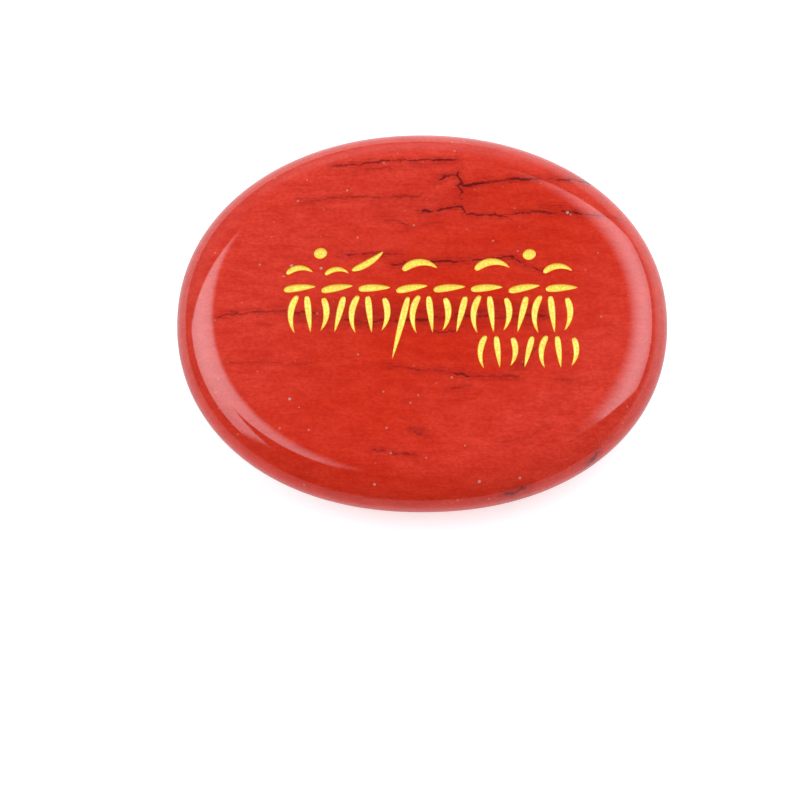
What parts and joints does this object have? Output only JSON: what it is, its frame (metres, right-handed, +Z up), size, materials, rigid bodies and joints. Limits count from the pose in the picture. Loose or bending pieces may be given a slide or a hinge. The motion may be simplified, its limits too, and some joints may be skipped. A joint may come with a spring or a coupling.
{
  "type": "engraved palm stone",
  "caption": "Flat oval palm stone of polished red jasper, rounded all round, with rows of shallow gilded strokes cut in its face.",
  "frame": {"origin": "middle of the flat underside, where the stone rests", "axes": "+X along the stone's length, +Y across it towards the upper marks, +Z up out of the engraved face"},
  "size_m": [0.045, 0.0358, 0.0065],
  "materials": {
    "stone": "polished",
    "gilding": "satin"
  },
  "bodies": {
    "root": {"stone": "stone"}
  },
  "joints": []
}
